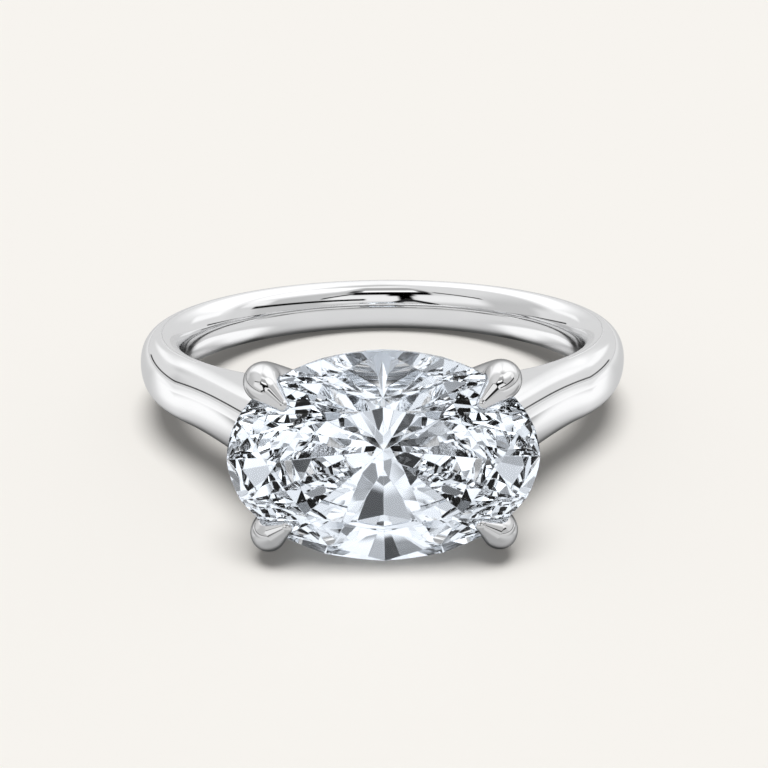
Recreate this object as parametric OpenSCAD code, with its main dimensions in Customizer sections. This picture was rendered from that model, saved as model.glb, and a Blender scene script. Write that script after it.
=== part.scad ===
// East west ring: a solitaire whose oval stone lies along the band, held by four claws.
// The ring is drawn round the middle of its finger hole, with the finger along Z and the head
// towards -Y. It is then turned on to its side, as it rests by itself on a flat surface.

/* [Finger hole] */
// Diameter of the finger hole
finger_d = 16.9; // [14.5:0.1:21]

/* [Band] */
// Width of the band, along the finger
band_w = 2.52; // [2:0.02:3.6]
// Thickness of the band, from the finger hole out to its crest
band_t = 1.86; // [1.5:0.02:2.4]
// Shape of the band's section: 2 is an ellipse, and more is squarer
band_squareness = 2.2; // [2:0.1:3.2]
// Depth by which the domed inner face is trimmed to a cylinder
finger_trim = 0.08; // [0.04:0.01:0.2]

/* [Shoulders] */
// Angle from the head at which the shoulders start to rise
shoulder_angle = 50; // [44:1:64]
// Height over the girdle at which the two shoulder curves would meet
shoulder_meet = 3; // [2:0.1:4]
// Gap between the stone's underside and the metal below it
under_gap = 0.3; // [0.15:0.05:0.5]
// Size of the rounding on the top of each shoulder
shoulder_round = 0.3; // [0.1:0.05:0.6]

/* [Head] */
// Distance from the finger hole out to the middle of the girdle
girdle_rise = 4.88; // [4.6:0.02:6]
// Clearance between the stone and the claws
stone_gap = 0.04; // [0.02:0.01:0.1]

/* [Claws] */
// Diameter of a claw where it is fattest, outside the girdle
claw_d = 1.2; // [0.8:0.05:1.5]
// Diameter of a claw's stem where it leaves the band
stem_d = 0.86; // [0.6:0.02:1.1]
// Diameter of a claw's tip
claw_tip_d = 0.42; // [0.3:0.02:0.6]
// Distance that a claw stands out past the girdle
claw_overhang = 0.78; // [0.6:0.02:1.1]
// Distance that a claw's tip reaches in over the crown
claw_reach = 0.88; // [0.6:0.01:1.2]
// Angle at the middle of the stone from its long axis, on the girdle's own circle, to a claw
claw_angle = 43.5; // [38:0.5:52]
// Height at which a claw bends, from the middle of the girdle
claw_bend_h = -0.06; // [-0.3:0.02:0.2]
// Slope of a claw's tip, up towards the middle of the stone
claw_tip_slope = 25; // [15:1:35]
// Distance between two claws' feet, along the band
foot_spread = 2.8; // [2:0.1:3.4]
// Metal between a claw's foot and the finger hole
foot_cover = 0.66; // [0.4:0.02:1]

/* [Stone] */
// Length of the stone
stone_l = 9.9; // [8:0.1:12]
// Width of the stone
stone_w = 7.05; // [6:0.05:8.5]
// Height of the crown, from the girdle to the table
crown_h = 1.02; // [0.7:0.02:1.3]
// Width of the crown, from the girdle in to the table
crown_run = 1.48; // [1.1:0.02:1.9]
// Thickness of the girdle at its thinnest
girdle_t = 0.06; // [0.03:0.01:0.2]
// Depth of the pavilion, from the girdle to the point
pavilion_h = 3.3; // [2.4:0.05:3.6]
// Share of the crown's height at which its star facets end
star_end = 0.56; // [0.45:0.01:0.7]
// Share of the pavilion's depth at which its lower halves end
lower_end = 0.85; // [0.65:0.01:0.92]

/* [Hidden] */

metal_colour = [0.83, 0.84, 0.86];
stone_colour = [0.86, 0.91, 0.97, 0.75];

// Facets round a stone of this cut: eight main facets above the girdle and eight below it
mains = 8;
main_step = 360 / mains;
// Points on the girdle for one main facet, which has two half facets beside it
girdle_per_main = 8;
girdle_points = mains * girdle_per_main;

// Sections and sides of the swept metal
band_sides = 32;
shoulder_sections = 52;
claw_sides = 16;
round_fn = 144;

// The tongues in which the shoulders end: turn inside and outside the plain part, and taper
tongue_turn = 1.5;
tongue_back = 0.2;
tongue_taper = 0.1;

finger_r = finger_d / 2;
half_w = band_w / 2;
// Half the height of the band's section before its inner face is trimmed
half_t = (band_t + finger_trim) / 2;
inner_r = finger_r - finger_trim;
crest_r = finger_r + band_t;
mid_r = (inner_r + crest_r) / 2;

girdle_r = finger_r + girdle_rise;
stone_a = stone_l / 2;
stone_b = stone_w / 2;
table_a = stone_a - crown_run;
table_b = stone_b - crown_run;

// A power that keeps its sign, for the rounded section
function signed_pow(v, p) = sign(v) * pow(abs(v), p);

// A value limited to the range from low to high
function clamp(v, low, high) = min(max(v, low), high);

// The smaller of two values, rounded where they meet over a height of r
function round_min(p, q, r) =
    let (k = clamp(0.5 + (q - p) / (4 * r), 0, 1)) q * (1 - k) + p * k - 2 * r * k * (1 - k);

// Half facet points are worked out from planes: n is the girdle's outward direction
function girdle_dir(t) =
    let (x = cos(t) / stone_a, y = sin(t) / stone_b) [x, y] / norm([x, y]);

function on_girdle(t, grow = 0) = [(stone_a + grow) * cos(t), (stone_b + grow) * sin(t)];

// The point at which two main facets' level lines cross
function crossing(n, c, m, d) =
    let (det = n.x * m.y - n.y * m.x) [(c * m.y - d * n.y) / det, (n.x * d - m.x * c) / det];

// Height at p of the plane through three points
function plane_z(a, b, c, p) =
    let (n = cross(b - a, c - a)) a.z - (n.x * (p.x - a.x) + n.y * (p.y - a.y)) / n.z;

// Where the table's corner k is
function table_corner(k, grow) =
    let (t = k * main_step) [(table_a + grow) * cos(t), (table_b + grow) * sin(t)];

// Distance along n to main crown facet k's level line, at a share of the crown's height
function crown_level(k, share, grow) =
    let (n = girdle_dir(k * main_step), g = on_girdle(k * main_step, grow))
    n * g - share * (n * (g - table_corner(k, grow)));

// Point of a star facet between the main crown facets k and k + 1
function star_point(k, grow) =
    let (p = crossing(girdle_dir(k * main_step), crown_level(k, star_end, grow),
                      girdle_dir((k + 1) * main_step), crown_level(k + 1, star_end, grow)))
    [p.x, p.y, star_end * crown_h];

// Turn of the pavilion's main facet k, which lies half way between two of the crown's
function pavilion_turn(k) = (k + 0.5) * main_step;

// Point at which the pavilion's lower halves end, between its main facets k - 1 and k
function lower_point(k, grow) =
    let (s = pavilion_turn(k - 1), t = pavilion_turn(k),
         n = girdle_dir(s), m = girdle_dir(t), left = 1 - lower_end,
         p = crossing(n, left * (n * on_girdle(s, grow)), m, left * (m * on_girdle(t, grow))))
    [p.x, p.y, -lower_end * pavilion_h];

// Girdle point j of the crown or pavilion: it lies on the plane of its half facet
function half_facet_z(j, side, grow) =
    let (half = girdle_per_main / 2, first = floor(j / half) * half,
         a = on_girdle(first * 360 / girdle_points, grow),
         b = on_girdle((first + half) * 360 / girdle_points, grow),
         k = floor(j / girdle_per_main),
         tip = side > 0 ? star_point(k, grow)
                        : lower_point(floor((j + half) / girdle_per_main), grow))
    plane_z([a.x, a.y, 0], [b.x, b.y, 0], tip, on_girdle(j * 360 / girdle_points, grow));

// How far the half facets dip into the girdle between their corners
crown_dip = -min([for (j = [0:girdle_points - 1]) half_facet_z(j, 1, 0)]);
pavilion_dip = max([for (j = [0:girdle_points - 1]) half_facet_z(j, -1, 0)]);
crown_base = girdle_t / 2 + crown_dip;
pavilion_base = -girdle_t / 2 - pavilion_dip;
table_z = crown_base + crown_h;
culet_z = pavilion_base - pavilion_h;

// The stone as points and triangles, its girdle grown by a clearance
function stone_points(grow) =
    let (up = crown_base + grow, down = pavilion_base - grow)
    concat(
        [for (k = [0:mains - 1]) let (p = table_corner(k, grow)) [p.x, p.y, up + crown_h]],
        [for (k = [0:mains - 1]) star_point(k, grow) + [0, 0, up]],
        [for (j = [0:girdle_points - 1]) let (p = on_girdle(j * 360 / girdle_points, grow))
            [p.x, p.y, up + half_facet_z(j, 1, grow)]],
        [for (j = [0:girdle_points - 1]) let (p = on_girdle(j * 360 / girdle_points, grow))
            [p.x, p.y, down + half_facet_z(j, -1, grow)]],
        [for (k = [0:mains - 1]) lower_point(k, grow) + [0, 0, down]],
        [[0, 0, down - pavilion_h]]);

table_at = 0;
star_at = mains;
crown_at = 2 * mains;
pavilion_at = crown_at + girdle_points;
lower_at = pavilion_at + girdle_points;
culet_at = lower_at + mains;

function crown_girdle(j) = crown_at + (j + girdle_points) % girdle_points;
function pavilion_girdle(j) = pavilion_at + (j + girdle_points) % girdle_points;
function star_no(k) = star_at + (k + mains) % mains;
function lower_no(k) = lower_at + (k + mains) % mains;

stone_faces = concat(
    [for (k = [1:mains - 2]) [table_at, table_at + k + 1, table_at + k]],
    [for (k = [0:mains - 1]) [table_at + k, table_at + (k + 1) % mains, star_no(k)]],
    [for (k = [0:mains - 1], i = [0, 1])
        let (g = crown_girdle(k * girdle_per_main))
        i == 0 ? [table_at + k, g, star_no(k - 1)] : [table_at + k, star_no(k), g]],
    [for (j = [0:girdle_points - 1])
        [star_no(floor(j / girdle_per_main)), crown_girdle(j + 1), crown_girdle(j)]],
    [for (j = [0:girdle_points - 1], i = [0, 1])
        i == 0 ? [crown_girdle(j), crown_girdle(j + 1), pavilion_girdle(j)]
               : [crown_girdle(j + 1), pavilion_girdle(j + 1), pavilion_girdle(j)]],
    [for (j = [0:girdle_points - 1])
        [lower_no(floor((j + girdle_per_main / 2) / girdle_per_main)),
         pavilion_girdle(j), pavilion_girdle(j + 1)]],
    [for (k = [0:mains - 1], i = [0, 1])
        let (g = pavilion_girdle((k + 0.5) * girdle_per_main))
        i == 0 ? [culet_at, lower_no(k), g] : [culet_at, g, lower_no(k + 1)]]);

module stone_body(grow = 0) {
    polyhedron(stone_points(grow), stone_faces);
}

// Crest of the shoulders at an angle from the head: a curve that rises from the plain band,
// cut off by a notch that runs beside the stone's underside
shoulder_lift = girdle_r + shoulder_meet - crest_r;
notch_foot = girdle_r + culet_z - under_gap;
notch_slope = pavilion_h / stone_a;
function rise_r(t) = crest_r + shoulder_lift * pow(max(0, 1 - abs(t) / shoulder_angle), 2);
function notch_r(t) = notch_foot / (cos(t) - notch_slope * sin(abs(t)));
// Past this angle the notch lies above the curve, so the crest is the plain curve
notch_end = shoulder_angle / 2;
function shoulder_crest(t) =
    abs(t) > notch_end ? rise_r(t) : round_min(rise_r(t), notch_r(t), shoulder_round);

// The band's section as [distance from the axis, place along the finger], drawn in by inset
function band_section(crest, inset = 0) =
    [for (k = [0:band_sides - 1])
        let (a = (k + 0.5) * 360 / band_sides,
             z = (half_w - inset) * signed_pow(cos(a), 2 / band_squareness),
             lift = (half_t - inset) * signed_pow(sin(a), 2 / band_squareness))
        [(lift > 0 ? crest - half_t : inner_r + half_t) + lift, z]];

// A closed solid through rings of points, with flat ends
module loft(rings) {
    n = len(rings[0]);
    last = len(rings) - 1;
    polyhedron(
        [for (ring = rings, p = ring) p],
        concat(
            [for (i = [0:last - 1], k = [0:n - 1], half = [0, 1])
                let (a = i * n + k, b = i * n + (k + 1) % n)
                half == 0 ? [a, b + n, b] : [a, a + n, b + n]],
            [for (k = [1:n - 2]) [0, k, k + 1]],
            [for (k = [1:n - 2]) [last * n, last * n + k + 1, last * n + k]]));
}

// The plain part of the band, round the back of the finger
module shank() {
    rotate([0, 0, shoulder_angle - 90])
        rotate_extrude(angle = 360 - 2 * shoulder_angle, $fn = round_fn)
            polygon(band_section(crest_r));
}

// Both shoulders and the bridge under the stone, as one sweep through the head. Each end tapers
// as a tongue that runs on into the plain part, so that the two are one piece of metal.
module shoulders() {
    full = shoulder_angle - tongue_back;
    tip = shoulder_angle + tongue_turn;
    turns = concat([-tip],
                   [for (i = [0:shoulder_sections]) full * (2 * i / shoulder_sections - 1)],
                   [tip]);
    loft([for (t = turns)
        [for (p = band_section(shoulder_crest(t), abs(t) > shoulder_angle ? tongue_taper : 0))
            [p.x * sin(t), -p.x * cos(t), p.y]]]);
}

// The claw's centre line lies in a plane through its foot and its place on the girdle.
// It is drawn in that plane as [outwards from the girdle, up from the girdle's middle].
claw_r = claw_d / 2;
stem_r = stem_d / 2;
tip_r = claw_tip_d / 2;
claw_place = on_girdle(claw_angle);
foot_place = [foot_spread / 2, half_w - stem_r - 0.1];
claw_away = (claw_place - foot_place) / norm(claw_place - foot_place);
// Radius of the bend, a little over the claw's own so that its inner side stays open
bend_r = claw_r + 0.02;
bend_at = [claw_overhang - claw_r - bend_r, claw_bend_h];
foot_at = [-norm(claw_place - foot_place), foot_cover + stem_r - girdle_rise];
foot_gap = bend_at - foot_at;
// Where the straight stem meets the bend, and where the bend passes into the straight tip
stem_turn = atan2(foot_gap.y, foot_gap.x) - asin(bend_r / norm(foot_gap));
bend_start = stem_turn - 90;
bend_end = 90 - claw_tip_slope;
function on_bend(t) = bend_at + bend_r * [cos(t), sin(t)];
tip_start = on_bend(bend_end);
tip_u = tip_r - claw_reach;
tip_len = (tip_start.x - tip_u) / cos(claw_tip_slope);
tip_dir = [-cos(claw_tip_slope), sin(claw_tip_slope)];
tip_at = tip_start + tip_len * tip_dir;
fat_u = on_bend(0).x;

// Radius of the claw at a place on the stem or under the bend, and over it
function stem_radius(share) = stem_r + (claw_r - stem_r) * (1 - cos(180 * share)) / 2;
function hook_radius(u) = tip_r + (claw_r - tip_r) * clamp((u - tip_u) / (fat_u - tip_u), 0, 1);

stem_len = norm(on_bend(bend_start) - foot_at);
under_len = bend_r * (0 - bend_start) * PI / 180;
function under_share(len) = len / (stem_len + under_len);

stem_steps = 4;
under_steps = 4;
over_steps = 6;
tip_steps = 4;
cap_steps = 3;
// Each station is [centre, direction, radius]
claw_stations = concat(
    [for (i = [0:stem_steps - 1])
        let (s = i / stem_steps)
        [foot_at + s * (on_bend(bend_start) - foot_at), stem_turn,
         stem_radius(under_share(s * stem_len))]],
    [for (i = [0:under_steps - 1])
        let (s = i / under_steps, t = bend_start * (1 - s))
        [on_bend(t), t + 90, stem_radius(under_share(stem_len + s * under_len))]],
    [for (i = [0:over_steps - 1])
        let (t = bend_end * i / over_steps)
        [on_bend(t), t + 90, hook_radius(on_bend(t).x)]],
    [for (i = [0:tip_steps])
        let (p = tip_start + tip_len * tip_dir * i / tip_steps)
        [p, bend_end + 90, hook_radius(p.x)]],
    [for (i = [1:cap_steps])
        let (t = 80 * i / cap_steps)
        [tip_at + tip_r * sin(t) * tip_dir, bend_end + 90, tip_r * cos(t)]]);

// One claw, in the head's frame: X along the stone, Y across it and Z out through its table
module claw() {
    across = [-claw_away.y, claw_away.x];
    loft([for (s = claw_stations)
        [for (k = [0:claw_sides - 1])
            let (a = (k + 0.5) * 360 / claw_sides,
                 out = s[0].x + s[2] * cos(a) * sin(s[1]),
                 up = s[0].y - s[2] * cos(a) * cos(s[1]),
                 p = claw_place + out * claw_away + s[2] * sin(a) * across)
            [p.x, p.y, up]]]);
}

module claws() {
    for (mx = [0, 1], my = [0, 1])
        mirror([mx, 0, 0]) mirror([0, my, 0]) claw();
}

// Puts the head's frame at the girdle's middle, with the table facing away from the finger
module at_head() {
    translate([0, -girdle_r, 0]) rotate([90, 0, 0]) children();
}

// How far the tilted band, stone and claws each reach down or out from the finger hole's middle
dual = band_squareness / (band_squareness - 1);
function band_reach(radial, axial) =
    pow(pow(half_t * radial, dual) + pow(half_w * axial, dual), 1 / dual);
function band_depth(t) = mid_r * sin(t) + band_reach(sin(t), cos(t));
claw_fat = claw_place + fat_u * claw_away;
function head_depth(t) =
    max(stone_b * cos(t) - (girdle_r + pavilion_base) * sin(t),
        claw_fat.y * cos(t) + claw_r - (girdle_r + claw_bend_h) * sin(t));

// The tilt at which the back of the band and the head touch the surface together, by halving
function settle(low, high, steps) =
    let (t = (low + high) / 2)
    steps == 0 ? t
               : head_depth(t) > band_depth(t) ? settle(t, high, steps - 1)
                                               : settle(low, t, steps - 1);
rest_tilt = settle(0, 45, 30);
rest_lift = band_depth(rest_tilt);
back_y = mid_r * cos(rest_tilt) + band_reach(cos(rest_tilt), sin(rest_tilt));
front_y = (girdle_r + table_z) * cos(rest_tilt) + table_b * sin(rest_tilt);

// Turns the ring on to its side, with the middle of its outline over the origin
module at_rest() {
    translate([0, (front_y - back_y) / 2, rest_lift]) rotate([-rest_tilt, 0, 0]) children();
}

module ring_mount() {
    color(metal_colour)
        at_rest() difference() {
            union() {
                shank();
                shoulders();
                at_head() claws();
            }
            cylinder(h = 4 * band_w, r = finger_r, center = true, $fn = round_fn);
            at_head() stone_body(stone_gap);
        }
}

module oval_stone() {
    color(stone_colour)
        at_rest() at_head() stone_body();
}

ring_mount();
oval_stone();
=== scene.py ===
"""East west ring: a polished white-metal solitaire, its oval stone held lengthwise by four claws.

The metal is worked out again as smooth surfaces from the same named sizes as its solids, and the
stone is the solid itself. Sizes are in millimetres round the middle of the finger hole, with the
finger along Z and the head towards -Y, until at_rest() lays the ring on its side in metres.
"""

from functools import partial

import bpy
import numpy as np
from mathutils import Matrix, Vector


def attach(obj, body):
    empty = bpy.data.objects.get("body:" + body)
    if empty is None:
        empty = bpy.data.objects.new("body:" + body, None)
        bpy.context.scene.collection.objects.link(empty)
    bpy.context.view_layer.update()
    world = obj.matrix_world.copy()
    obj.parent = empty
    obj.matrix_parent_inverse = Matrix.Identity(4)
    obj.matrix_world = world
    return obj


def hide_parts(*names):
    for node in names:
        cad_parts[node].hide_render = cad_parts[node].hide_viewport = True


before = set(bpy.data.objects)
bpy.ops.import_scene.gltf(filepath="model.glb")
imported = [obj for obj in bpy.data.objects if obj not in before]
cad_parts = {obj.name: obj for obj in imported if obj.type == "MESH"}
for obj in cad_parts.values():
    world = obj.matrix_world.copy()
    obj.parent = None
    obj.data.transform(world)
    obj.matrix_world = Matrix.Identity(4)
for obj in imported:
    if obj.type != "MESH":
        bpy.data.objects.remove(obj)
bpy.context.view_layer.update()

# ---- sizes of the ring, as in its source ----
FINGER_R = 16.9 / 2
BAND_W, BAND_T = 2.52, 1.86
BAND_SQUARENESS = 2.2
SHOULDER_ANGLE = 50.0
SHOULDER_MEET = 3.0
UNDER_GAP = 0.3
SHOULDER_ROUND = 0.3
GIRDLE_R = FINGER_R + 4.88
CLAW_W, STEM_W, TIP_W = 1.2, 0.86, 0.42
CLAW_OVERHANG, CLAW_REACH = 0.78, 0.88
CLAW_ANGLE = 43.5
CLAW_BEND_H = -0.06
CLAW_TIP_SLOPE = 25.0
FOOT_SPREAD, FOOT_COVER = 2.8, 0.66
STONE_A, STONE_B = 9.9 / 2, 7.05 / 2
PAVILION_H = 3.3
CULET_Z = -3.3956
REST_TILT, REST_SHIFT, REST_LIFT = 5.71391, 2.17186, 2.18985
FOOT_INSET = 0.1
MM = 0.001

# ---- how the smooth surfaces are drawn ----
# They keep this far inside the box of the flat-faceted solids, at the sides and at the crest.
INSET, CREST_INSET = 0.003, 0.008
HALF_W, HALF_T = BAND_W / 2 - INSET, BAND_T / 2
CREST_R = FINGER_R + BAND_T - CREST_INSET
CLAW_R, STEM_R, TIP_R = CLAW_W / 2 - INSET, STEM_W / 2, TIP_W / 2
# Degrees from one section of the band to the next, on the shoulders and on the plain part.
FINE_STEP, PLAIN_STEP = 0.4, 1.0
# Points on the outer half of a section, as on its inner half, and on each flank between them.
HALF_POINTS, FLANK_POINTS = 49, 6
# Circles along the parts of a claw, points round each, and degrees of the ball that they cover.
STEM_RINGS, BEND_RINGS, TIP_RINGS, BALL_RINGS = 22, 36, 30, 11
CLAW_ROUND = 64
BALL_END = 86
# How much wider the arc of a claw's bend is than the claw, so that its inner side doesn't pinch,
# and how far a claw keeps off the stone.
BEND_SPARE, STONE_GAP = 0.02, 0.02


def turn_x(degrees):
    """Matrix of a turn about X."""
    c, s = np.cos(np.radians(degrees)), np.sin(np.radians(degrees))
    return np.array([[1, 0, 0], [0, c, -s], [0, s, c]])


def at_rest(points):
    """Tilts points back by the resting tilt, shifts them over the origin and gives metres."""
    moved = points @ turn_x(-REST_TILT).T + [0, REST_SHIFT, REST_LIFT]
    return moved * MM


def at_head(points):
    """Head frame (X along the stone, Y across it, Z out through the table) to the ring's own."""
    return points @ turn_x(90).T + [0, -GIRDLE_R, 0]


def round_min(p, q, r):
    """The smaller of two values, rounded over a height r where they meet."""
    k = np.clip(0.5 + (q - p) / (4 * r), 0, 1)
    return q * (1 - k) + p * k - 2 * r * k * (1 - k)


def shoulder_crest(turn):
    """Distance of the crest from the axis, at a turn from the head in degrees.

    It rises from the plain band as the square of the share of the shoulder that is passed, and a
    straight notch beside the stone's underside cuts it off."""
    away = np.abs(turn)
    lift = GIRDLE_R + SHOULDER_MEET - CREST_R
    rise = CREST_R + lift * np.maximum(0, 1 - away / SHOULDER_ANGLE) ** 2
    t = np.radians(away)
    notch_foot = GIRDLE_R + CULET_Z - UNDER_GAP
    notch = notch_foot / (np.cos(t) - PAVILION_H / STONE_A * np.sin(t))
    beside_stone = away <= SHOULDER_ANGLE / 2
    return np.where(beside_stone, round_min(rise, notch, SHOULDER_ROUND), rise)


def mesh_piece(name, points, quads, caps=()):
    """A smooth closed mesh from points in metres, quads of indices and polygons for its ends."""
    mesh = bpy.data.meshes.new(name)
    loops = np.concatenate([quads.ravel()] + [np.asarray(c) for c in caps]).astype(np.int32)
    sizes = np.concatenate([np.full(len(quads), 4), [len(c) for c in caps]]).astype(np.int32)
    mesh.vertices.add(len(points))
    mesh.vertices.foreach_set("co", points.astype(np.float32).ravel())
    mesh.loops.add(len(loops))
    mesh.loops.foreach_set("vertex_index", loops)
    mesh.polygons.add(len(sizes))
    starts = np.concatenate([[0], np.cumsum(sizes)[:-1]]).astype(np.int32)
    mesh.polygons.foreach_set("loop_start", starts)
    mesh.polygons.foreach_set("use_smooth", np.ones(len(sizes), bool))
    mesh.update(calc_edges=True)
    mesh.validate()
    piece = bpy.data.objects.new(name, mesh)
    bpy.context.scene.collection.objects.link(piece)
    return piece


def grid_quads(rows, columns, wrap_rows):
    """Quads between neighbouring rows and columns of a grid whose columns close on themselves."""
    r = np.arange(rows if wrap_rows else rows - 1)[:, None]
    c = np.arange(columns)[None, :]
    up, right = (r + 1) % rows, (c + 1) % columns
    corners = [r * columns + c, r * columns + right, up * columns + right, up * columns + c]
    return np.stack([np.broadcast_to(k, (len(r), columns)) for k in corners], -1).reshape(-1, 4)


def band_points():
    """The band and its shoulders, as one section carried round the finger.

    The outer half of the section is the superellipse |z/w|^n + |h/t|^n = 1 and the inner half an
    ellipse, domed towards the finger, with straight flanks between the two as far as the crest
    is raised."""
    shoulders = np.arange(-SHOULDER_ANGLE, SHOULDER_ANGLE, FINE_STEP)
    plain = np.arange(SHOULDER_ANGLE, 360 - SHOULDER_ANGLE, PLAIN_STEP)
    turn = np.concatenate([shoulders, plain])
    crest = shoulder_crest(np.where(turn > 180, turn - 360, turn))[:, None]
    a = np.radians(np.linspace(0, 180, HALF_POINTS))
    r = (np.abs(np.cos(a) / HALF_W) ** BAND_SQUARENESS
         + np.abs(np.sin(a) / HALF_T) ** BAND_SQUARENESS) ** (-1 / BAND_SQUARENESS)
    outer = crest - HALF_T + r * np.sin(a)
    inner = np.broadcast_to(FINGER_R + HALF_T * (1 - np.sin(a[::-1])), outer.shape)
    flank = np.linspace(0, 1, FLANK_POINTS + 2)[1:-1]
    down = outer[:, -1:] + flank * (inner[:, :1] - outer[:, -1:])
    up = down[:, ::-1]
    out = np.concatenate([outer, down, inner, up], 1)
    along = np.concatenate([r * np.cos(a), np.full(FLANK_POINTS, -HALF_W),
                            HALF_W * np.cos(a[::-1]), np.full(FLANK_POINTS, HALF_W)])
    t = np.radians(turn)[:, None]
    points = np.stack([out * np.sin(t), -out * np.cos(t), np.broadcast_to(along, out.shape)], -1)
    return points.reshape(-1, 3), grid_quads(len(turn), len(along), True)


def claw_points(side_x, side_y):
    """One claw, as circles carried along a centre line with a radius of their own at each place.

    The line runs straight up from the foot, bends round outside the girdle as a circular arc and
    ends in a straight tip that slopes in over the crown and closes as a ball. The radius grows
    by half a cosine up to the fattest place, level with the bend's middle, and then shrinks in
    proportion to the distance that is left to the tip."""
    oval = np.radians(CLAW_ANGLE)
    place = np.array([STONE_A * np.cos(oval), STONE_B * np.sin(oval)])
    foot = np.array([FOOT_SPREAD / 2, HALF_W - STEM_R - FOOT_INSET])
    lean = np.linalg.norm(place - foot)
    away = (place - foot) / lean
    bend_r = CLAW_R + BEND_SPARE
    bend_at = np.array([CLAW_OVERHANG - CLAW_R - bend_r, CLAW_BEND_H])
    foot_at = np.array([-lean, FOOT_COVER + STEM_R - (GIRDLE_R - FINGER_R)])
    gap = bend_at - foot_at
    stem_turn = np.arctan2(gap[1], gap[0]) - np.arcsin(bend_r / np.linalg.norm(gap))
    low, high = stem_turn - np.pi / 2, np.radians(90 - CLAW_TIP_SLOPE)

    def on_bend(t):
        return bend_at + bend_r * np.stack([np.cos(t), np.sin(t)], -1)

    slope = np.radians(CLAW_TIP_SLOPE)
    tip_u, fat_u = TIP_R - CLAW_REACH, bend_at[0] + bend_r
    start = on_bend(high)
    tip_len = (start[0] - tip_u) / np.cos(slope)
    tip_dir = np.array([-np.cos(slope), np.sin(slope)])
    stem_len, under_len = np.linalg.norm(on_bend(low) - foot_at), bend_r * -low

    def stem_radius(length):
        swell = (1 - np.cos(np.pi * length / (stem_len + under_len))) / 2
        return STEM_R + (CLAW_R - STEM_R) * swell

    def hook_radius(u):
        return TIP_R + (CLAW_R - TIP_R) * np.clip((u - tip_u) / (fat_u - tip_u), 0, 1)

    share = np.linspace(0, 1, STEM_RINGS, endpoint=False)
    stem = foot_at + share[:, None] * (on_bend(low) - foot_at)
    under = low * (1 - share)
    over = high * np.linspace(0, 1, BEND_RINGS, endpoint=False)
    tip = start + tip_len * tip_dir * np.linspace(0, 1, TIP_RINGS)[:, None]
    ball = np.radians(np.linspace(0, BALL_END, BALL_RINGS + 1))[1:, None]
    cap = tip[-1] + TIP_R * np.sin(ball) * tip_dir
    centre = np.concatenate([stem, on_bend(under), on_bend(over), tip, cap])
    heading = np.concatenate([np.full(STEM_RINGS, stem_turn), under + np.pi / 2,
                              over + np.pi / 2,
                              np.full(TIP_RINGS + BALL_RINGS, high + np.pi / 2)])
    radius = np.concatenate([stem_radius(share * stem_len),
                             stem_radius(stem_len + bend_r * (under - low)),
                             hook_radius(on_bend(over)[:, 0]), hook_radius(tip[:, 0]),
                             TIP_R * np.cos(ball[:, 0])])
    a = np.radians(np.arange(CLAW_ROUND) * 360 / CLAW_ROUND)[None, :]
    r = radius[:, None]
    out = centre[:, :1] + r * np.cos(a) * np.sin(heading)[:, None]
    up = centre[:, 1:] - r * np.cos(a) * np.cos(heading)[:, None]
    x = place[0] + out * away[0] - r * np.sin(a) * away[1]
    y = place[1] + out * away[1] + r * np.sin(a) * away[0]
    points = np.stack([x * side_x, y * side_y, up], -1).reshape(-1, 3)
    quads = grid_quads(len(radius), CLAW_ROUND, False)
    circle = np.arange(CLAW_ROUND)
    ends = [circle[::-1], circle + CLAW_ROUND * (len(radius) - 1)]
    if side_x * side_y < 0:
        quads, ends = quads[:, ::-1], [e[::-1] for e in ends]
    return points, quads, ends


def clear_of_stone(points, gap):
    """Moves points that lie in the stone out through its nearest facet, to gap metres off it."""
    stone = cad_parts["oval_stone"].data
    co = np.zeros(len(stone.vertices) * 3, np.float32)
    stone.vertices.foreach_get("co", co)
    stone.calc_loop_triangles()
    tri = np.zeros(len(stone.loop_triangles) * 3, np.int32)
    stone.loop_triangles.foreach_get("vertices", tri)
    corner = co.reshape(-1, 3).astype(float)[tri.reshape(-1, 3)]
    n = np.cross(corner[:, 1] - corner[:, 0], corner[:, 2] - corner[:, 0])
    n /= np.linalg.norm(n, axis=1)[:, None]
    level = np.einsum("ij,ij->i", n, corner[:, 0]) + gap
    depth = points @ n.T - level
    nearest = depth.argmax(1)
    inside = depth[np.arange(len(points)), nearest] < 0
    moved = points.copy()
    moved[inside] -= (depth[inside, nearest[inside]])[:, None] * n[nearest[inside]]
    return moved


# ---- materials ----
# Polish marks of a finish: ripple scale, hairline scale and depth.
METAL_MARKS, STONE_MARKS = (500, 3000, 0.02), (300, 4000, 0.0)
HAIRLINE_STRETCH, HAIRLINE_SHARE = (1, 1, 7), 0.35
# In metres: a mark's height, the reach of the painted corner shade, how far a facet's edge is
# worn.
MARK_HEIGHT, PAINTED_SHADE_REACH, EDGE_WEAR = 0.00002, 0.0004, 0.00003
# The brightness that the painted shade in corners leaves where it is deepest.
PAINTED_SHADE_DEEPEST = 0.3
METAL_LOW, METAL_HIGH = np.array([0.97, 0.974, 0.982]), np.array([1.01, 1.012, 1.018])
STONE_LOW, STONE_HIGH = (0.955, 0.98, 1.0), (0.985, 0.993, 1.0)
STONE_SHINE, STONE_INDEX = 0.13, 2.417


def grey(value):
    """A colour without any hue."""
    return (value,) * 3


def new_material(name):
    """A material with its Principled shader and output, as (material, nodes, links, shader)."""
    material = bpy.data.materials.new(name)
    material.use_nodes = True
    nodes, links = material.node_tree.nodes, material.node_tree.links
    return material, nodes, links, nodes["Principled BSDF"]


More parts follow.
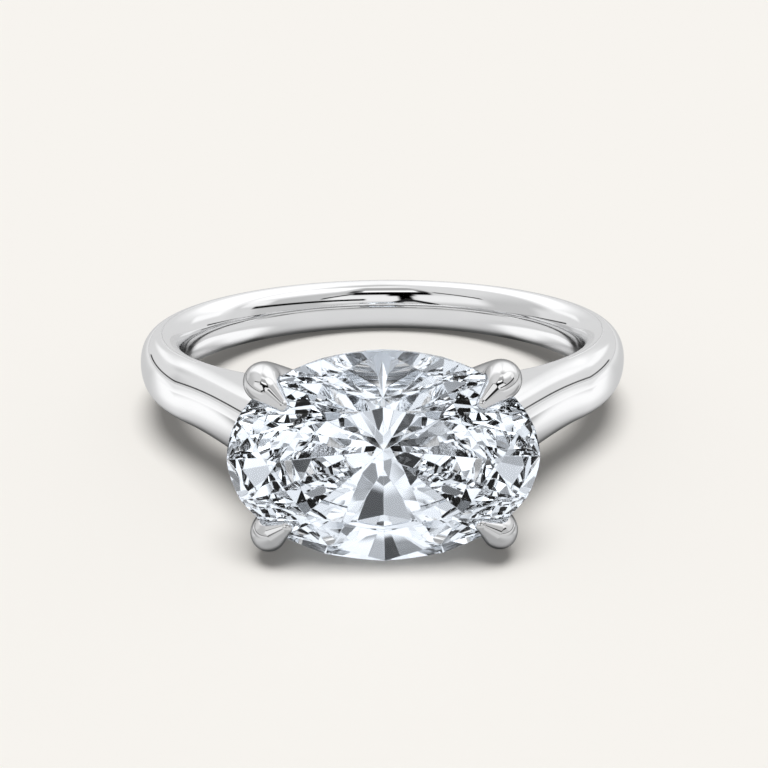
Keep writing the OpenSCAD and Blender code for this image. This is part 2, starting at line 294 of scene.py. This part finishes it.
def polish_marks():
    """Node group: the faint unevenness that a polishing wheel leaves, on Object coordinates.

    Two sizes of noise, one stretched as fine hairlines, give a mask from 0 to 1 and a normal."""
    group = bpy.data.node_groups.new("polish_marks", "ShaderNodeTree")
    face = group.interface
    for name, value in (("Ripple Scale", 400.0), ("Hairline Scale", 2500.0), ("Depth", 0.05)):
        face.new_socket(name, in_out="INPUT", socket_type="NodeSocketFloat").default_value = value
    face.new_socket("Mask", in_out="OUTPUT", socket_type="NodeSocketFloat")
    face.new_socket("Normal", in_out="OUTPUT", socket_type="NodeSocketVector")
    nodes, links = group.nodes, group.links
    given, made = nodes.new("NodeGroupInput"), nodes.new("NodeGroupOutput")
    place = nodes.new("ShaderNodeTexCoord")
    stretch = nodes.new("ShaderNodeMapping")
    stretch.inputs["Scale"].default_value = HAIRLINE_STRETCH
    ripple, hairline = nodes.new("ShaderNodeTexNoise"), nodes.new("ShaderNodeTexNoise")
    hairline.inputs["Detail"].default_value = 4
    both = nodes.new("ShaderNodeMix")
    both.data_type = "FLOAT"
    both.inputs[0].default_value = HAIRLINE_SHARE
    bump = nodes.new("ShaderNodeBump")
    bump.inputs["Distance"].default_value = MARK_HEIGHT
    links.new(place.outputs["Object"], ripple.inputs["Vector"])
    links.new(place.outputs["Object"], stretch.inputs["Vector"])
    links.new(stretch.outputs["Vector"], hairline.inputs["Vector"])
    links.new(given.outputs["Ripple Scale"], ripple.inputs["Scale"])
    links.new(given.outputs["Hairline Scale"], hairline.inputs["Scale"])
    links.new(ripple.outputs["Fac"], both.inputs[2])
    links.new(hairline.outputs["Fac"], both.inputs[3])
    links.new(both.outputs[0], bump.inputs["Height"])
    links.new(given.outputs["Depth"], bump.inputs["Strength"])
    links.new(both.outputs[0], made.inputs["Mask"])
    links.new(bump.outputs["Normal"], made.inputs["Normal"])
    return group


MARKS = polish_marks()


def marks_in(nodes, ripple, hairline, depth):
    """Places the polish group in a material with its own values."""
    node = nodes.new("ShaderNodeGroup")
    node.node_tree = MARKS
    for name, value in (("Ripple Scale", ripple), ("Hairline Scale", hairline), ("Depth", depth)):
        node.inputs[name].default_value = value
    return node


def ramp(nodes, links, source, stops):
    """A colour ramp from source through (place, colour) stops."""
    node = nodes.new("ShaderNodeValToRGB")
    for k, (place, colour) in enumerate(stops):
        stop = node.color_ramp.elements[k] if k < 2 else node.color_ramp.elements.new(place)
        stop.position = place
        stop.color = (*colour, 1)
    links.new(source, node.inputs["Fac"])
    return node


def white_metal(name, brightness, rim):
    """Mirror-polished white metal with painted shade: darker colour in tight corners and near
    other parts.

    Rim is the tint of what mirrors at a glancing angle."""
    material, nodes, links, shader = new_material(name)
    marks = marks_in(nodes, *METAL_MARKS)
    tint = ramp(nodes, links, marks.outputs["Mask"],
                [(0.3, brightness * METAL_LOW), (0.7, brightness * METAL_HIGH)])
    rough = ramp(nodes, links, marks.outputs["Mask"], [(0.3, grey(0.03)), (0.75, grey(0.06))])
    # Painted shade: the base colour darkens where other surfaces, the stone and the floor among
    # them, lie within reach.
    corner = nodes.new("ShaderNodeAmbientOcclusion")
    corner.samples = 8
    corner.inputs["Distance"].default_value = PAINTED_SHADE_REACH
    painted_shade_ramp = ramp(nodes, links, corner.outputs["AO"], [(0.0, grey(PAINTED_SHADE_DEEPEST)), (0.7, grey(1.0))])
    both = nodes.new("ShaderNodeMix")
    both.data_type, both.blend_type = "RGBA", "MULTIPLY"
    both.inputs[0].default_value = 1
    links.new(tint.outputs["Color"], both.inputs[6])
    links.new(painted_shade_ramp.outputs["Color"], both.inputs[7])
    links.new(both.outputs[2], shader.inputs["Base Color"])
    links.new(rough.outputs["Color"], shader.inputs["Roughness"])
    links.new(marks.outputs["Normal"], shader.inputs["Normal"])
    shader.inputs["Metallic"].default_value = 1
    shader.inputs["Specular Tint"].default_value = (*grey(rim), 1)
    return material


def cut_stone():
    """Clear stone with flat polished facets and a trace of blue."""
    material, nodes, links, shader = new_material("clear_cut_stone")
    marks = marks_in(nodes, *STONE_MARKS)
    tint = ramp(nodes, links, marks.outputs["Mask"], [(0.3, STONE_LOW), (0.7, STONE_HIGH)])
    links.new(tint.outputs["Color"], shader.inputs["Base Color"])
    edge = nodes.new("ShaderNodeBevel")
    edge.samples = 4
    edge.inputs["Radius"].default_value = EDGE_WEAR
    links.new(edge.outputs["Normal"], shader.inputs["Normal"])
    shader.inputs["Roughness"].default_value = 0
    shader.inputs["IOR"].default_value = STONE_INDEX
    shader.inputs["Transmission Weight"].default_value = 1
    shader.inputs["Specular Tint"].default_value = (*grey(STONE_SHINE), 1)
    return material


# ---- pieces ----
band_metal = white_metal("polished_white_metal", 0.925, 0.92)
# The claws' metal is the band's with a darker colour, painted shade for the greyer light the claws
# mirror, and duller glancing reflections.
claw_metal = white_metal("claw_metal_painted_darker", 0.86, 0.38)
stone_look = cut_stone()

points, quads = band_points()
band = mesh_piece("band_and_shoulders", at_rest(points), quads)
pieces = [band]
CORNERS = {"claw_far_left": (-1, 1), "claw_far_right": (1, 1),
           "claw_near_left": (-1, -1), "claw_near_right": (1, -1)}
for name, (side_x, side_y) in CORNERS.items():
    points, quads, ends = claw_points(side_x, side_y)
    places = clear_of_stone(at_rest(at_head(points)), STONE_GAP * MM)
    pieces.append(mesh_piece(name, places, quads, ends))
for piece in pieces:
    piece.data.materials.append(band_metal if piece is band else claw_metal)
    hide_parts("ring_mount")
    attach(piece, "root")

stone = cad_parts["oval_stone"]
stone.data.materials.clear()
stone.data.materials.append(stone_look)

# ---- shading shared by the floor and the studio ----
CARD_INPUTS = ("Middle Across", "Middle Up", "Half Width", "Half Height", "Blur", "Slope")
STONE_TINT = (0.95, 1.0, 1.07)


def feed(links, socket, value):
    """Links a socket to another one, or sets it to a number or a colour."""
    if isinstance(value, bpy.types.NodeSocket):
        links.new(value, socket)
    else:
        socket.default_value = value


def calculate(nodes, links, operation, *values):
    """One step of arithmetic on numbers and sockets."""
    node = nodes.new("ShaderNodeMath")
    node.operation = operation
    for socket, value in zip(node.inputs, values):
        feed(links, socket, value)
    return node.outputs[0]


def smooth_step(nodes, links, value, low, high, start, end):
    """Goes smoothly from start to end while the value goes from low to high."""
    node = nodes.new("ShaderNodeMapRange")
    node.interpolation_type = "SMOOTHSTEP"
    for name, given in (("Value", value), ("From Min", low), ("From Max", high),
                        ("To Min", start), ("To Max", end)):
        feed(links, node.inputs[name], given)
    return node.outputs["Result"]


def soft_card():
    """Node group: the mask of one soft-edged oblong card, on two coordinates across and up.

    The mask is the product of two smooth steps: one of the distance across from the card's middle
    and one of the distance up from its middle line, which may slope. Across wraps round at 180."""
    group = bpy.data.node_groups.new("soft_card", "ShaderNodeTree")
    face = group.interface
    for name in ("Across", "Up") + CARD_INPUTS:
        face.new_socket(name, in_out="INPUT", socket_type="NodeSocketFloat")
    face.new_socket("Mask", in_out="OUTPUT", socket_type="NodeSocketFloat")
    nodes, links = group.nodes, group.links
    given, made = nodes.new("NodeGroupInput"), nodes.new("NodeGroupOutput")
    calc = partial(calculate, nodes, links)
    half_blur = calc("MULTIPLY", given.outputs["Blur"], 0.5)

    def inside(distance, half):
        low, high = calc("SUBTRACT", half, half_blur), calc("ADD", half, half_blur)
        return smooth_step(nodes, links, distance, low, high, 1, 0)

    across = calc("SUBTRACT", given.outputs["Across"], given.outputs["Middle Across"])
    across = calc("WRAP", across, 180, -180)
    up = calc("SUBTRACT", given.outputs["Up"], given.outputs["Middle Up"])
    up = calc("SUBTRACT", up, calc("MULTIPLY", across, given.outputs["Slope"]))
    wide = inside(calc("ABSOLUTE", across), given.outputs["Half Width"])
    high = inside(calc("ABSOLUTE", up), given.outputs["Half Height"])
    links.new(calc("MULTIPLY", wide, high), made.inputs["Mask"])
    return group


SOFT_CARD = soft_card()


def cards_over(nodes, links, across, up, field, cards):
    """Brightness of a plain field with cards laid over it in turn, at two coordinates."""
    seen = calculate(nodes, links, "ADD", field, 0)
    for *shape, brightness in cards:
        node = nodes.new("ShaderNodeGroup")
        node.node_tree = SOFT_CARD
        links.new(across, node.inputs["Across"])
        links.new(up, node.inputs["Up"])
        for name, value in zip(CARD_INPUTS, shape):
            node.inputs[name].default_value = value
        mix = nodes.new("ShaderNodeMix")
        mix.data_type = "FLOAT"
        links.new(node.outputs["Mask"], mix.inputs[0])
        links.new(seen, mix.inputs[2])
        mix.inputs[3].default_value = brightness
        seen = mix.outputs[0]
    return seen


def cool_light(nodes, links, brightness):
    """The stone's cool white at a brightness."""
    node = nodes.new("ShaderNodeVectorMath")
    node.operation = "SCALE"
    node.inputs[0].default_value = STONE_TINT
    links.new(brightness, node.inputs["Scale"])
    return node.outputs[0]


def choose(nodes, links, chance, usual, other):
    """The other colour where chance is 1, and the usual one where it is 0."""
    mix = nodes.new("ShaderNodeMix")
    mix.data_type = "RGBA"
    for k, value in ((0, chance), (6, usual), (7, other)):
        feed(links, mix.inputs[k], value)
    return mix.outputs[2]


# ---- floor ----
FLOOR_SIZE = 6.0
FLOOR_COLOUR = (0.93, 0.905, 0.863, 1)
# The floor's plain brightness in the metal and through the stone, and the painted shade it has in
# the metal right beside what mirrors it, with the ray's length in metres at which that painted
# shade is gone.
PAPER, STONE_FLOOR = 0.68, 1.1
NEAR_SHADE, NEAR_REACH = 0.8, 0.0012
# Painted light and shade on the floor that only show through the stone, the brightest laid over
# the ring's
# own shadow: place across and back from the middle of the ring's outline, half width, half depth,
# blur (all in mm), slope and brightness.
PAINTED_LIGHT_THROUGH_STONE = [
    (-17, -20, 9, 4, 3, 0, 0.03),
    (4, -30.5, 2.6, 3.5, 1.5, 0, 0.06),
    (-3, -36, 4, 8.5, 2, 0, 0.5),
    (-15, -31, 6, 3.5, 3, 0, 0.3),
    (-8.5, 10, 4, 5, 3, 0, 0.25),
    (10.8, -26, 2.5, 2.5, 1.5, 0, 0.4),
    (-8.5, -29.6, 2.5, 2.5, 1.5, 0, 0.42),
    (4.4, -20.9, 1.6, 1.6, 0.8, 0, 0.2),
    (-15.3, -52, 4, 6, 2, 0, 0.22),
    (15.4, -52, 4, 6, 2, 0, 0.4),
    (0, 1, 9, 7, 3, 0, 0.7),
    (0, -10, 12, 4.2, 2, 0, 1.9),
    (2, -13.9, 1.6, 1.0, 0.6, 0, 0.35),
    (8.3, 10.6, 3.5, 3, 2, 0, 2.2),
    (5.9, -7.4, 1.3, 1.3, 0.8, 0, 0.12),
    (3.9, -2.8, 1.2, 1.2, 0.8, 0, 0.35),
]
# The same for painted light and shade that only show in the metal, alike on both sides: a broad
# card far out, bright strips beside the shoulders for their highlights, painted shade before them,
# under the stone and in the opening's corners, and small light and dark ones in the opening and by
# the lower claws.
PAINTED_LIGHT_IN_METAL = [
    (62, 0, 36, 200, 24, 0, 0.86),
    (27, 5.8, 16.5, 4.2, 5.5, 0.7, 1.04),
    (17, -0.7, 4.5, 2.5, 3, 0.6, 1.1),
    (14, -7, 5, 3, 3, 0.7, 0.42),
    (0, -5, 8.5, 5, 4, 0, 0.36),
    (6.6, 1.2, 1.8, 3.6, 2.5, 0, 0.4),
    (4.6, 4.8, 1.8, 1.0, 1.2, -1.2, 0.12),
    (5.6, 7.7, 1.4, 0.7, 0.9, 0, 1.12),
    (0, 8.6, 3.4, 4.2, 2, 0, 0.76),
    (7.9, 5.9, 0.6, 1.1, 0.8, 0, 1.2),
    (6.5, 9.0, 0.7, 0.8, 0.8, -0.6, 0.33),
    (3.4, -13.4, 1.9, 1.6, 2.4, 0, 0.45),
    (7.4, -8.9, 1.7, 1.7, 1.2, 0, 0.9),
]
floor_mesh = bpy.data.meshes.new("floor")
h = FLOOR_SIZE / 2
floor_mesh.from_pydata([(-h, -h, 0), (h, -h, 0), (h, h, 0), (-h, h, 0)], [], [(0, 1, 2, 3)])
floor = bpy.data.objects.new("floor", floor_mesh)
bpy.context.scene.collection.objects.link(floor)


def pale_floor():
    """Matt warm white floor, which shows in another way in the metal and through the stone.

    In the metal it is neutral paper with painted light and shade on it, and painted shade right
    beside what mirrors it. Through the stone it is cool paper with other painted light and shade
    on it."""
    material, nodes, links, shader = new_material("pale_floor")
    shader.inputs["Roughness"].default_value = 0.9
    shader.inputs["Specular IOR Level"].default_value = 0.0
    calc = partial(calculate, nodes, links)
    place, part = nodes.new("ShaderNodeTexCoord"), nodes.new("ShaderNodeSeparateXYZ")
    links.new(place.outputs["Object"], part.inputs[0])
    rays = nodes.new("ShaderNodeLightPath")
    across, back = calc("DIVIDE", part.outputs[0], MM), calc("DIVIDE", part.outputs[1], MM)
    length = rays.outputs["Ray Length"]
    # Painted shade: the floor mirrored in the metal is darker where the mirrored ray is short.
    near = smooth_step(nodes, links, length, 0, NEAR_REACH, NEAR_SHADE, 1)
    paper = cards_over(nodes, links, calc("ABSOLUTE", across), back, PAPER, PAINTED_LIGHT_IN_METAL)
    mirrored = calc("MULTIPLY", paper, near)
    through = cards_over(nodes, links, across, back, STONE_FLOOR, PAINTED_LIGHT_THROUGH_STONE)
    through = cool_light(nodes, links, through)
    colour = choose(nodes, links, rays.outputs["Is Glossy Ray"], FLOOR_COLOUR, mirrored)
    colour = choose(nodes, links, rays.outputs["Is Transmission Ray"], colour, through)
    links.new(colour, shader.inputs["Base Color"])
    return material


floor_mesh.materials.append(pale_floor())

# ---- camera ----
IMAGE = 768
LENS, SENSOR = 50.0, 36.0
CAMERA_RISE, CAMERA_AWAY = 14.8, 46.6
CAMERA_ROLL = 0.59
CENTRE_PIXEL = (382.3, 350.1)
NEAR_CLIP, FAR_CLIP = 0.001, 20


def basis(forward, up):
    """Matrix with columns right, up and back, for a look along forward."""
    right = np.cross(forward, up)
    right /= np.linalg.norm(right)
    return np.stack([right, np.cross(right, forward), -forward], 1)


def make_camera():
    """A camera at the photo's angle to the ring, with the finger hole's middle at its pixel."""
    rise = np.radians(CAMERA_RISE)
    eye = at_rest(CAMERA_AWAY * np.array([[0, -np.cos(rise), np.sin(rise)]]))[0]
    middle = at_rest(np.zeros((1, 3)))[0]
    look = (middle - eye) / np.linalg.norm(middle - eye)
    focal = LENS / SENSOR * IMAGE
    across, up = CENTRE_PIXEL[0] - IMAGE / 2, IMAGE / 2 - CENTRE_PIXEL[1]
    pixel = np.array([across / focal, up / focal, -1])
    pixel /= np.linalg.norm(pixel)
    ring_up = turn_x(-REST_TILT) @ [0, 0, 1]
    c, s = np.cos(np.radians(CAMERA_ROLL)), np.sin(np.radians(CAMERA_ROLL))
    roll = np.array([[c, s, 0], [-s, c, 0], [0, 0, 1]])
    turned = basis(look, ring_up) @ roll @ basis(pixel, np.array([0, 1, 0])).T
    data = bpy.data.cameras.new("camera")
    data.lens, data.sensor_width = LENS, SENSOR
    data.clip_start, data.clip_end = NEAR_CLIP, FAR_CLIP
    camera = bpy.data.objects.new("camera", data)
    camera.matrix_world = Matrix.LocRotScale(Vector(eye), Matrix(turned.tolist()), None)
    bpy.context.scene.collection.objects.link(camera)
    bpy.context.scene.camera = camera


make_camera()

# ---- light ----
# The shares that each light gives of the floor's whole light, and the big one's lean and width.
SUN_SHARE, FILL_SHARE = 0.72, 0.11
SUN_LEAN, SUN_WIDTH = 9.0, 36.0


def make_sun(name, share, lean, width, shadow):
    """A wide soft sun for the floor, leaning to the front of straight up.

    It gives the floor that share of its whole light, whichever way it leans."""
    data = bpy.data.lights.new(name, "SUN")
    data.energy = share * np.pi / np.cos(np.radians(lean))
    data.angle = np.radians(width)
    data.use_shadow = shadow
    sun = bpy.data.objects.new(name, data)
    sun.rotation_euler = (np.radians(lean), 0, 0)
    sun.visible_glossy = sun.visible_transmission = False
    bpy.context.scene.collection.objects.link(sun)


# Cards round the ring that show in the metal: turn from the front towards +X, height, half width,
# half height, blur (all in degrees), slope and brightness.
CARDS = [
    (-92, 66, 52, 26, 34, 0, 0.76),
    (105, 12, 16, 14, 10, 0, 0.72),
    (180, 9, 68, 13, 12, 0, 0.77),
    (-156, 49, 26, 27, 20, 0, 1.2),
    (147, 49, 32, 27, 20, 0, 1.2),
    (-146, 19, 12, 4, 6, 0.5, 1.05),
    (135, 19, 15, 5, 6, -0.2, 1.08),
    (95, 34, 12, 7, 8, 0, 0.95),
    (75, 66, 38, 17, 18, -0.35, 1.2),
    (0, 85, 80, 6, 5, 0, 1.0),
    (-47, 29, 26, 14, 14, 0, 0.93),
    (12, 29, 26, 14, 14, 0, 0.95),
    (-8, 70, 34, 7, 5, 0, 0.42),
    (-8, 56, 33, 8, 6, 0, 0.3),
    (-37, 55, 4, 5, 5, 0, 0.05),
    (25, 57, 4, 6, 5, 0, 0.1),
    (-7.5, 59.5, 25, 3.5, 3, 0, 1.25),
    (-8, 48.7, 31, 5.2, 3, 0, 0.0),
    (-14.5, 43, 10, 6, 5, 0, 0.0),
    (-16.5, 29, 4.8, 13, 3, 0, 0.0),
    (-27, 15, 10.5, 4.2, 3, 0.86, 0.02),
    (-12, 16.5, 6, 4.8, 3, -1.2, 0.02),
    (-60, 45, 15, 2.4, 3, 0.6, 0.03),
    (33, 40.5, 10, 2.6, 3, -0.7, 0.03),
    (52, 24, 41, 3.2, 3, 0, 0.0),
    (-92, 2.4, 49, 1.1, 1.4, 0, 0.02),
    (87, 2.4, 43, 1.1, 1.4, 0, 0.05),
]
# The same for what shines through the stone: bright on the right, darker on the left.
STONE_CARDS = [
    (-95, 40, 70, 60, 40, 0, 0.85),
    (-60, 32, 13, 8, 4, 0, 0.02),
    (-68, 47, 11, 6, 4, 0, 0.35),
    (-50, 2, 9, 5, 3, 0, 0.04),
    (20, 9, 8, 4, 3, 0, 0.3),
    (41, 10, 6, 8, 4, 0, 0.65),
    (-4, 12, 4, 4, 2, 0, 0.1),
    (-17, 11, 6, 3.5, 2, 0, 0.17),
    (-155, 5, 7, 5, 4, 0, 0.45),
    (0, 6, 4, 2.5, 2, 0, 0.3),
    (-130, 19, 6, 4, 3, 0, 0.35),
    (-12, 20, 5, 4, 3, 0, 0.4),
    (105, 24, 18, 14, 8, 0, 0.5),
    (0, 33, 20, 5, 3, 0, 0.68),
    (160, 5, 12, 10, 6, 0, 1.35),
    (63, 38, 16, 12, 8, 0, 1.3),
    (0, 75, 180, 10, 8, 0, 0.55),
]
# The studio's plain brightness in the metal and through the stone, and its share of the floor's
# light.
FIELD, STONE_FIELD = 0.57, 1.12
SKY_SHARE = 0.17


def make_world():
    """The studio round the ring: a grey field with soft white and dark cards in front of it.

    The metal and the stone see the cards. The floor only gets an even light, and the camera sees
    the floor's own colour beyond its edge."""
    world = bpy.data.worlds.new("studio")
    bpy.context.scene.world = world
    world.use_nodes = True
    nodes, links = world.node_tree.nodes, world.node_tree.links
    calc = partial(calculate, nodes, links)
    place, part = nodes.new("ShaderNodeTexCoord"), nodes.new("ShaderNodeSeparateXYZ")
    links.new(place.outputs["Generated"], part.inputs[0])
    x, y, z = part.outputs
    turn = calc("DEGREES", calc("ARCTAN2", x, calc("MULTIPLY", y, -1)))
    height = calc("DEGREES", calc("ARCSINE", z))
    mirrored = cards_over(nodes, links, turn, height, FIELD, CARDS)
    through = cards_over(nodes, links, turn, height, STONE_FIELD, STONE_CARDS)
    through = cool_light(nodes, links, through)
    rays = nodes.new("ShaderNodeLightPath")
    colour = choose(nodes, links, rays.outputs["Is Glossy Ray"], (*grey(SKY_SHARE), 1), mirrored)
    colour = choose(nodes, links, rays.outputs["Is Transmission Ray"], colour, through)
    colour = choose(nodes, links, rays.outputs["Is Camera Ray"], colour, FLOOR_COLOUR)
    links.new(colour, nodes["Background"].inputs["Color"])


make_sun("overhead_soft_light", SUN_SHARE, SUN_LEAN, SUN_WIDTH, True)
make_sun("fill_light", FILL_SHARE, 0, 1, False)
make_world()

# ---- picture ----
scene = bpy.context.scene
scene.view_settings.view_transform = "Standard"
scene.view_settings.look = "None"
scene.cycles.max_bounces = 24
scene.cycles.transmission_bounces = 24
scene.cycles.glossy_bounces = 12
scene.cycles.use_denoising = True
scene.cycles.caustics_reflective = False
scene.cycles.caustics_refractive = True
